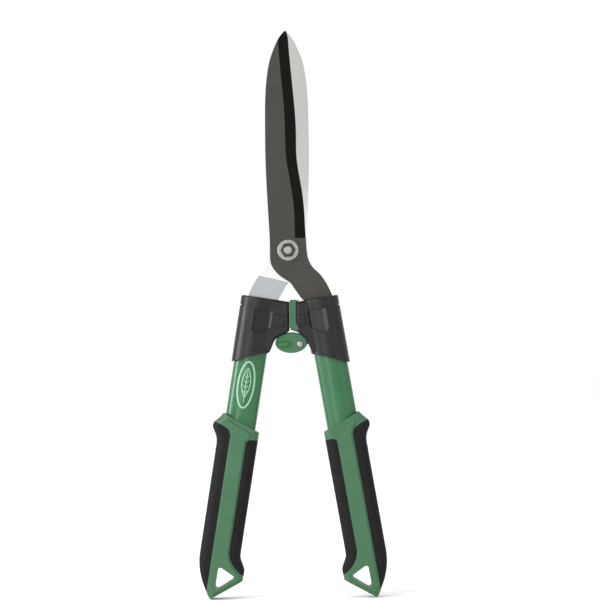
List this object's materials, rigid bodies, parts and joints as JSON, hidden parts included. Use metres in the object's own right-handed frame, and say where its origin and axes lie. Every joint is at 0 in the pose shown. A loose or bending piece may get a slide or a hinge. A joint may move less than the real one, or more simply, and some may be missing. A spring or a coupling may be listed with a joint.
{
  "type": "hedge shears",
  "caption": "Two-handed garden shears with wavy blades, oval tube arms, padded grips with hang holes, a rubber stop and a pivoting oval lock latch.",
  "frame": {"origin": "centre of the bounding box on the floor plane through the butt tips of the two grips, with the shears closed and standing upright", "axes": "+Z runs from the butts to the blade tips, the shears lie in the XZ plane, and -Y is the face with the pivot nut and the oval latch; +X is the arm that carries the dark front blade"},
  "size_m": [0.1844, 0.0272, 0.5581],
  "materials": {
    "coated_blade": "matt dark grey coating on the outer face with a black ground bevel; bare ground steel on the mating face",
    "ground_steel": "satin ground steel",
    "zinc_steel": "bright zinc plated steel",
    "dark_nut": "dark bright nickel plating",
    "dark_nylon": "matt dark nylon",
    "green_tube_paint": "glossy green powder coat",
    "black_nylon": "matt black nylon",
    "black_ferrule_plastic": "fine-grained satin black plastic",
    "green_rubber": "satin green rubber",
    "green_grip_plastic": "satin green plastic",
    "grip_rubber": "matt black soft rubber",
    "green_latch_plastic": "satin green plastic"
  },
  "bodies": {
    "left_arm": {"rear_blade": "ground_steel", "pivot_bolt": "zinc_steel", "pivot_washer": "zinc_steel", "pivot_locknut": "dark_nut", "pivot_nut_nylon_ring": "dark_nylon", "left_tube": "green_tube_paint", "left_tang_plug": "black_nylon", "left_rivet_upper": "zinc_steel", "left_rivet_lower": "zinc_steel", "left_ferrule": "black_ferrule_plastic", "latch_keeper_pin": "zinc_steel", "left_grip_core": "green_grip_plastic", "left_grip_outer_pad": "grip_rubber", "left_grip_inner_pad": "grip_rubber"},
    "right_arm": {"front_blade": "coated_blade", "right_tube": "green_tube_paint", "right_tang_plug": "black_nylon", "right_rivet_upper": "zinc_steel", "right_rivet_lower": "zinc_steel", "right_ferrule": "black_ferrule_plastic", "bumper_pad": "green_rubber", "latch_screw": "zinc_steel", "latch_washer": "zinc_steel", "latch_nut": "zinc_steel", "right_grip_core": "green_grip_plastic", "right_grip_outer_pad": "grip_rubber", "right_grip_inner_pad": "grip_rubber"},
    "latch": {"lock_latch": "green_latch_plastic"}
  },
  "joints": [
    {"name": "blade_pivot", "type": "hinge", "parent": "left_arm", "child": "right_arm", "pos_m": [-0.0011, 0, 0.3418], "axis": [0, -1, 0], "range_deg": [0, 45]},
    {"name": "latch_pivot", "type": "hinge", "parent": "right_arm", "child": "latch", "pos_m": [0.0096, 0, 0.2495], "axis": [0, 1, 0], "range_deg": [-40, 15]}
  ]
}
